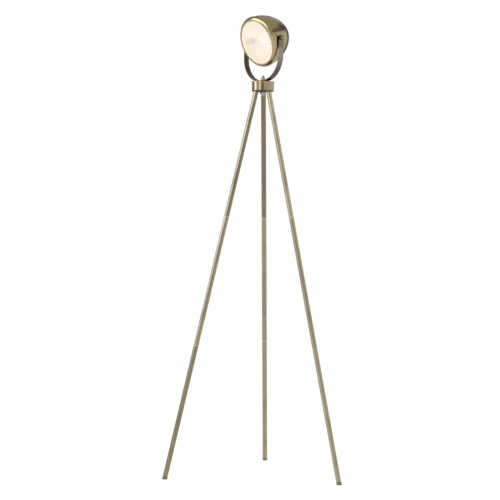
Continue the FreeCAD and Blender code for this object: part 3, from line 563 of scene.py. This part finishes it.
def screw_outline(shank, length, head, height, crown):
    """Half outline of a round-headed screw from its tip at -length to its crown."""
    outline = [(0, -length), (shank * 0.85, -length), (shank, -length + shank * 0.3),
               (shank, 0), (head * 0.97, 0), (head, height * 0.12)]
    for turn in range(0, 7):
        angle = math.radians(turn * 15)
        outline.append((head * math.cos(angle), height - crown + crown * math.sin(angle)))
    outline[-1] = (0, height)
    return outline


def head_turn(sizes):
    """Rotation of the head's own frame: Z looks out of the lamp."""
    return Euler((math.pi / 2 + sizes.rest_tilt, 0, 0))


# Brightness of the lower, middle and upper tube of each leg: painted reflection, each tube
# made lighter or darker to stand in for the part of the studio that it mirrors
TUBE_REFLECTION_TONES = {
    "leg_1": (1.12, 1.08, 1.32),
    "leg_2": (0.92, 0.93, 0.64),
    "leg_3": (0.76, 1.0, 0.79),
}

# Cards of the studio: bearing, low edge and high edge in degrees as seen from the head, at the
# card's right and left ends, and then the card's brightness
SCREENS = (
    ("top_card", (30, 44, 80), (150, 44, 80), 0.62),
    ("middle_card", (30, 37, 44), (150, 37, 44), 0.36),
    ("band_card", (30, 30.5, 37), (60, 30.5, 37), 0.13),
    ("band_end", (60, 30.5, 37), (112, 19, 37), 0.13),
    ("left_card", (150, -2, 80), (221, -2, 80), 0.36),
    ("high_card", (221, 52, 80), (300, 52, 80), 0.55),
    ("right_card", (300, 31, 80), (390, 31, 80), 0.50),
    ("front_card", (304, -2, 31), (331, -2, 31), 0.26),
    ("side_card", (331, -14, 31), (390, -14, 31), 0.78),
    ("near_card", (30, -14, 30.5), (60, -14, 30.5), 1.0),
    ("low_card", (60, -14, 30.5), (101, -14, 21), 0.95),
    ("back_card", (101, -14, 21), (150, -14, 37), 0.16),
    ("box_side", (248, 15, 51), (299, 15, 51), 3.1),
    ("front_strip", (279, -8, 14), (296, -8, 14), 1.6),
    ("gap_card", (249, -8, 14), (277, -8, 14), 0.70),
)


# ---------------------------------------------------------------------------
# Operators, one for each group of pieces

class LAMP_OT_legs(bpy.types.Operator):
    """Finish the three legs: drawn brass tubes, steel studs and rubber feet"""

    bl_idname = "lamp.legs"
    bl_label = "Legs"

    def execute(self, context):
        colours = context.scene.lamp_colours
        sizes = context.scene.lamp_sizes
        steel = plain_steel("leg_steel", colours.bare_steel, HUB_AXIS, 0.3)
        rubber = matt("foot_rubber", tuple(colours.rubber), 0.62, 0.3)
        for leg in TUBE_REFLECTION_TONES:
            low, high = (self.middle(f"{leg}_{part}_tube") for part in ("lower", "upper"))
            direction = (high - low).normalized()
            length = (high - low).length / 2
            turn = direction.to_track_quat("Z", "Y").to_euler()
            seams = [length * step for step in (-0.5, 0.5, 1.5, 2.5)]
            brass = drawn_tube_brass(
                f"{leg}_brass", colours, TUBE_REFLECTION_TONES[leg], low, turn, seams, sizes)
            for part in ("lower", "middle", "upper"):
                paint(f"{leg}_{part}_tube", brass)
                paint(f"{leg}_{part}_stud", steel)
                if part != "lower":
                    paint(f"{leg}_{part}_bush", steel)
            paint(f"{leg}_foot", rubber)
        return {"FINISHED"}

    @staticmethod
    def middle(node):
        low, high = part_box(node)
        return (low + high) / 2


class LAMP_OT_hub(bpy.types.Operator):
    """Finish the hub, its plate, stud, nuts and washers"""

    bl_idname = "lamp.hub"
    bl_label = "Hub"

    def execute(self, context):
        colours = context.scene.lamp_colours
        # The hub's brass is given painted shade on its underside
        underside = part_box("hub_body")[0].z - HUB_AXIS.z
        brass = turned_brass("hub_brass", colours.hub_brass, colours.patina, HUB_AXIS, 0.15, 0.2,
                             underside)
        steel = plain_steel("nut_steel", colours.bare_steel, HUB_AXIS, 0.24)
        fibre = matt("washer_fibre", WASHER_FIBRE, 0.75, 0.4)
        for node in ("hub_body", "hub_plate", "bottom_washer"):
            paint(node, brass)
        for node in ("centre_stud", "bottom_cap_nut", "top_cap_nut", "top_washer"):
            paint(node, steel)
        paint("pan_washer", fibre)
        return {"FINISHED"}


class LAMP_OT_yoke(bpy.types.Operator):
    """Finish the bent yoke"""

    bl_idname = "lamp.yoke"
    bl_label = "Yoke"

    def execute(self, context):
        paint("yoke", strip_brass(
            "yoke_brass", context.scene.lamp_colours, HUB_AXIS,
            TILT_AXIS.z - ARM_STRAIGHT - HUB_AXIS.z))
        return {"FINISHED"}


class LAMP_OT_head(bpy.types.Operator):
    """Finish the shell, the bezel and what is fixed in them"""

    bl_idname = "lamp.head"
    bl_label = "Head"

    def execute(self, context):
        colours = context.scene.lamp_colours
        turn = head_turn(context.scene.lamp_sizes)
        shell = spun_brass("shell_brass", colours.shell_brass, colours.patina, TILT_AXIS, turn,
                           0.19, 0.30, 0.7)
        bezel = spun_brass("bezel_brass", colours.bezel_brass, colours.patina, TILT_AXIS, turn,
                           0.14, 0.15)
        steel = plain_steel("inner_steel", colours.bare_steel, TILT_AXIS, 0.32)
        paint("shell", shell)
        paint("bezel", bezel)
        for node in ("retaining_ring", "inlet_nipple", "inner_lock_nut", "weld_nuts"):
            paint(node, steel)
        paint("outer_lock_nut", bezel)
        paint("lens_gasket", matt("gasket_rubber", GASKET_SILICONE, 0.6, 0.1, lit=0.7))
        return {"FINISHED"}


class LAMP_OT_light(bpy.types.Operator):
    """Finish the glass, the lit reflector, the bulb and its holder"""

    bl_idname = "lamp.light"
    bl_label = "Glass and lamp"

    def execute(self, context):
        colours = context.scene.lamp_colours
        turn = head_turn(context.scene.lamp_sizes)
        paint("lens", clear_glass("lens_glass", TILT_AXIS, turn))
        paint("reflector", lit_reflector("lit_reflector", colours.glow, TILT_AXIS, turn))
        paint("bulb_glass", lit_bulb("lit_bulb", TILT_AXIS, turn))
        paint("bulb_cap", spun_brass("cap_brass", CAP_BRASS, colours.patina, TILT_AXIS, turn,
                                     0.3, 0.1))
        paint("lampholder", matt("holder_plastic", HOLDER_PLASTIC, 0.4, 0.1))
        return {"FINISHED"}


class LAMP_OT_screws(bpy.types.Operator):
    """Make the slotted screws of the bezel and of the tilt hinge"""

    bl_idname = "lamp.screws"
    bl_label = "Screws"

    def execute(self, context):
        colours = context.scene.lamp_colours
        sizes = context.scene.lamp_sizes
        turn = head_turn(sizes)
        # Painted shade: this brass is dark beyond 6.4 mm from the tilt axis, round the edges of
        # the tilt screws' heads and over the bosses, washers and bezel screws
        brass = turned_brass("screw_brass", colours.screw_brass, colours.patina, TILT_AXIS,
                             0.26, 0.2, turn=(0, math.pi / 2, 0), shaded_rim=6.4 * MM)
        for node in ("pivot_bosses", "inner_washers", "outer_washers"):
            paint(node, brass)
        self.bezel_screws(sizes, turn, brass)
        self.tilt_screws(sizes, brass)
        return {"FINISHED"}

    def bezel_screws(self, sizes, turn, brass):
        """Three small screws round the head, with their slots set at odd angles."""
        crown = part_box("bezel_screws")[1].x - TILT_AXIS.x
        reach = crown / math.cos(math.radians(BEZEL_SCREW_ROLL)) - BEZEL_SCREW[3]
        place = Matrix.Translation(TILT_AXIS) @ turn.to_matrix().to_4x4()
        shape = bmesh.new()
        for index, twist in enumerate(BEZEL_TWISTS):
            one = bmesh.new()
            revolve(one, screw_outline(*BEZEL_SCREW), 32)
            cut_slot(one, sizes.bezel_slot, *BEZEL_SLOT)
            roll = Matrix.Rotation(math.radians(BEZEL_SCREW_ROLL + 120 * index), 4, "Z")
            seat = Matrix.Translation((reach, 0, BEZEL_SCREW_FRONT))
            self.add(shape, one, place @ roll @ seat, twist)
        piece = new_piece("bezel_screw_set", shape, brass, "head")
        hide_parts("bezel_screws")

    def tilt_screws(self, sizes, brass):
        """The two hinge screws with domed, slotted heads."""
        low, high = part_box("tilt_screws")
        crown = (high.x - low.x) / 2
        shape = bmesh.new()
        for side, twist in TILT_TWISTS.items():
            one = bmesh.new()
            revolve(one, screw_outline(*TILT_SCREW))
            cut_slot(one, sizes.tilt_slot, *TILT_SLOT)
            seat = (Matrix.Translation(TILT_AXIS)
                    @ Matrix.Rotation(0 if side > 0 else math.pi, 4, "Z")
                    @ Matrix.Translation((crown - TILT_SCREW[3], 0, 0)))
            self.add(shape, one, seat, twist)
        piece = new_piece("tilt_screw_pair", shape, brass, "head")
        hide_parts("tilt_screws")

    @staticmethod
    def add(shape, one, seat, twist):
        """Seat one screw, its slot at twist degrees, and move its faces into the shape."""
        outward = Matrix.Rotation(math.pi / 2, 4, "Y")
        spin_slot = Matrix.Rotation(math.radians(twist), 4, "Z")
        bmesh.ops.transform(one, matrix=seat @ outward @ spin_slot, verts=one.verts)
        mesh = bpy.data.meshes.new("screw")
        one.to_mesh(mesh)
        one.free()
        shape.from_mesh(mesh)
        bpy.data.meshes.remove(mesh)


class LAMP_OT_stage(bpy.types.Operator):
    """Set up the floor, the cards that the metal reflects, the light and the camera"""

    bl_idname = "lamp.stage"
    bl_label = "Stage"

    def execute(self, context):
        levels = context.scene.lamp_stage
        self.floor(levels)
        self.screens(levels)
        self.world(levels)
        self.soft_box(levels)
        self.camera(levels)
        context.scene.view_settings.view_transform = "Standard"
        return {"FINISHED"}

    @staticmethod
    def seen(finish):
        """1 for rays that show the background: camera, gloss and glass."""
        path = finish.node("ShaderNodeLightPath", {}, {})
        seen = path.value("Is Camera Ray").maths("MAXIMUM", path.value("Is Glossy Ray"))
        return seen.maths("MAXIMUM", path.value("Is Transmission Ray"))

    def floor(self, levels):
        finish = Finish("studio_floor")
        seen = self.seen(finish)
        plain = finish.node("ShaderNodeBsdfDiffuse", {}, {"Color": FLOOR_PALE}).value()
        white = finish.node("ShaderNodeEmission", {}, {
            "Color": WHITE, "Strength": 1.0 + levels.shadow * SHADOW_MAKE_UP}).value()
        mix = finish.node("ShaderNodeMixShader", {},
                          {0: seen * (1 - levels.shadow), 1: plain, 2: white})
        finish.node("ShaderNodeOutputMaterial", {}, {"Surface": mix.value()})
        shape = bmesh.new()
        bmesh.ops.create_grid(shape, x_segments=1, y_segments=1, size=20)
        floor = scenery("floor", shape, finish.owner)
        floor.location.z = -0.2 * MM

    def screens(self, levels):
        """Plain cards round the studio, dark and pale, that only the gloss of the metal sees."""
        for name, right, left, tone in SCREENS:
            finish = Finish(name)
            grey = tone if tone > 1 else tone + (1 - tone) * levels.card_light
            glow = finish.node("ShaderNodeEmission", {}, {"Color": WHITE, "Strength": grey})
            finish.node("ShaderNodeOutputMaterial", {}, {"Surface": glow.value()})
            shape = bmesh.new()
            bmesh.ops.create_grid(shape, x_segments=16, y_segments=8, size=0.5)
            for corner in shape.verts:
                share = corner.co.x + 0.5
                bearing, low, high = (
                    start + (end - start) * share for start, end in zip(right, left))
                height = low + (high - low) * (corner.co.y + 0.5)
                corner.co = TILT_AXIS + levels.card_distance * aim(bearing, height)
            card = scenery(name, shape, finish.owner)
            card.visible_camera = False
            card.visible_diffuse = False
            card.visible_shadow = False
            card.visible_transmission = False

    def world(self, levels):
        finish = Finish("studio", "worlds")
        bpy.context.scene.world = finish.owner
        strength = self.seen(finish) * (1 - levels.sky) + levels.sky
        light = finish.node("ShaderNodeBackground", {}, {"Color": WHITE, "Strength": strength})
        finish.node("ShaderNodeOutputWorld", {}, {"Surface": light.value()})

    @staticmethod
    def soft_box(levels):
        """One tall soft box, the only light besides the even light from all sides."""
        outward = aim(*SOFT_BOX_AIM)
        data = bpy.data.lights.new("soft_box", "AREA")
        data.shape = "RECTANGLE"
        data.energy = levels.key
        data.size, data.size_y = SOFT_BOX_SIZE
        lamp = bpy.data.objects.new("soft_box", data)
        bpy.context.scene.collection.objects.link(lamp)
        lamp.location = TILT_AXIS + outward * SOFT_BOX_DISTANCE
        lamp.rotation_euler = (-outward).to_track_quat("-Z", "Y").to_euler()

    @staticmethod
    def camera(levels):
        """The photograph's viewpoint, found from the feet, the legs and the hub."""
        data = bpy.data.cameras.new("camera")
        data.sensor_width = SENSOR_WIDTH
        data.lens = levels.lens
        camera = bpy.data.objects.new("camera", data)
        bpy.context.scene.collection.objects.link(camera)
        around = math.radians(CAMERA_AROUND)
        level = Vector((-math.sin(around), math.cos(around), 0))
        yaw, pitch, roll = (math.radians(angle) for angle in CAMERA_TURNS)
        flat = Matrix.Rotation(-yaw, 3, "Z") @ level
        forward = (flat * math.cos(pitch) + Vector((0, 0, math.sin(pitch)))).normalized()
        right = forward.cross(Vector((0, 0, 1))).normalized()
        up = right.cross(forward)
        across = right * math.cos(roll) + up * math.sin(roll)
        over = up * math.cos(roll) - right * math.sin(roll)
        spot = Vector((HUB_AXIS.x, HUB_AXIS.y, CAMERA_HEIGHT)) - level * CAMERA_DISTANCE
        turn = Matrix((across, over, -forward)).transposed().to_4x4()
        camera.matrix_world = Matrix.Translation(spot) @ turn
        bpy.context.scene.camera = camera


class LAMP_PT_panel(bpy.types.Panel):
    """The lamp's pieces and its studio"""

    bl_idname = "LAMP_PT_panel"
    bl_label = "Spotlight Floor Lamp"
    bl_space_type = "VIEW_3D"
    bl_region_type = "UI"
    bl_category = "Lamp"

    def draw(self, context):
        for group in (context.scene.lamp_colours, context.scene.lamp_sizes,
                      context.scene.lamp_stage):
            column = self.layout.column(align=True)
            for name in group.__annotations__:
                column.prop(group, name)
        for operator in OPERATORS:
            self.layout.operator(operator.bl_idname)


OPERATORS = (LAMP_OT_legs, LAMP_OT_hub, LAMP_OT_yoke, LAMP_OT_head, LAMP_OT_light,
             LAMP_OT_screws, LAMP_OT_stage)
GROUPS = {"lamp_colours": LampColours, "lamp_sizes": LampSizes, "lamp_stage": StageLevels}


def register():
    for group in GROUPS.values():
        bpy.utils.register_class(group)
    for name, group in GROUPS.items():
        setattr(bpy.types.Scene, name, bpy.props.PointerProperty(type=group))
    for operator in OPERATORS:
        bpy.utils.register_class(operator)
    bpy.utils.register_class(LAMP_PT_panel)


def unregister():
    bpy.utils.unregister_class(LAMP_PT_panel)
    for operator in reversed(OPERATORS):
        bpy.utils.unregister_class(operator)
    for name in GROUPS:
        delattr(bpy.types.Scene, name)
    for group in reversed(tuple(GROUPS.values())):
        bpy.utils.unregister_class(group)


def main():
    register()
    bpy.ops.lamp.legs()
    bpy.ops.lamp.hub()
    bpy.ops.lamp.yoke()
    bpy.ops.lamp.head()
    bpy.ops.lamp.light()
    bpy.ops.lamp.screws()
    bpy.ops.lamp.stage()


if __name__ == "__main__":
    main()
